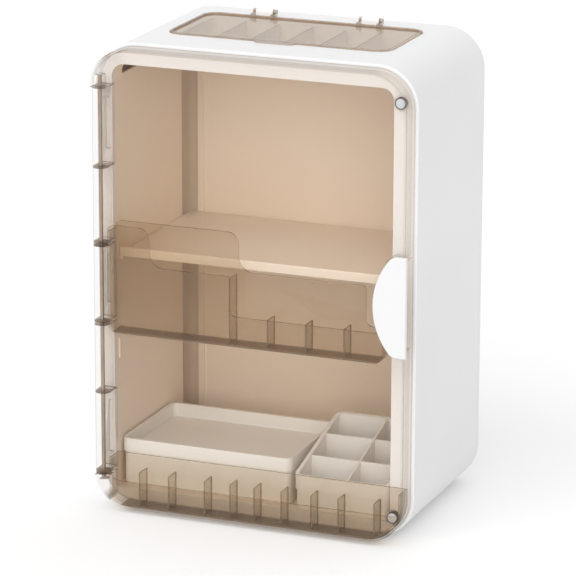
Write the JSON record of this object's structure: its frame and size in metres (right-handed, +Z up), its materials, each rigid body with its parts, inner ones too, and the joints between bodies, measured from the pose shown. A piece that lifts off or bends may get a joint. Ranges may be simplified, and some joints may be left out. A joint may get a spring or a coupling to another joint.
{
  "type": "makeup organizer with a tinted swing door, door bins, lift-out trays and a lidded top tray",
  "caption": "White rounded makeup organizer cabinet with a tinted clear swing door that carries bins, a shelf, loose trays and a small lidded tray in its top",
  "frame": {"origin": "on the table, under the middle of the object's bounding box", "axes": "+X to the right seen from the front, +Y to the back, +Z up; the door faces -Y"},
  "size_m": [0.3416, 0.2366, 0.4945],
  "materials": {
    "shell_white": "smooth gloss white, moulded",
    "liner_cream": "satin off-white, moulded",
    "tinted_clear": "clear warm brown tint, polished",
    "tray_white": "satin white, moulded",
    "handle_white": "smooth gloss white",
    "pin_steel": "drawn steel",
    "magnet_nickel": "nickel plated",
    "foot_rubber": "soft pale rubber"
  },
  "bodies": {
    "cabinet": {"outer_shell": "shell_white", "inner_liner": "liner_cream", "back_lining": "liner_cream", "shelf": "liner_cream", "top_tray": "tray_white", "top_tray_dividers": "tray_white", "lid_hinge_blocks": "shell_white", "lid_hinge_pins": "pin_steel", "hinge_bracket_upper": "tinted_clear", "hinge_bracket_middle": "tinted_clear", "hinge_bracket_lower": "tinted_clear", "hinge_pin": "pin_steel", "strike_discs": "magnet_nickel", "foot_pads": "foot_rubber", "liner_screws": "pin_steel"},
    "door": {"door_pan": "tinted_clear", "middle_bin": "tinted_clear", "middle_bin_dividers": "tinted_clear", "lower_bin": "tinted_clear", "lower_bin_dividers": "tinted_clear", "handle_plate": "handle_white", "handle_screws": "pin_steel", "door_magnets": "magnet_nickel"},
    "lid": {"top_lid": "tinted_clear"},
    "flat_tray": {"flat_tray": "tray_white"},
    "divided_tray": {"divided_tray": "tray_white", "tray_partitions": "tray_white"}
  },
  "joints": [
    {"name": "door_hinge", "type": "hinge", "parent": "cabinet", "child": "door", "pos_m": [-0.1603, -0.1063, 0.24], "axis": [0, 0, -1], "range_deg": [0, 150]},
    {"name": "lid_hinge", "type": "hinge", "parent": "cabinet", "child": "lid", "pos_m": [0, 0.0809, 0.4911], "axis": [-1, 0, 0], "range_deg": [0, 105]},
    {"name": "flat_tray_lift", "type": "slide", "parent": "cabinet", "child": "flat_tray", "axis": [0, 0, 1], "range_m": [0, 0.12]},
    {"name": "divided_tray_lift", "type": "slide", "parent": "cabinet", "child": "divided_tray", "axis": [0, 0, 1], "range_m": [0, 0.12]}
  ]
}
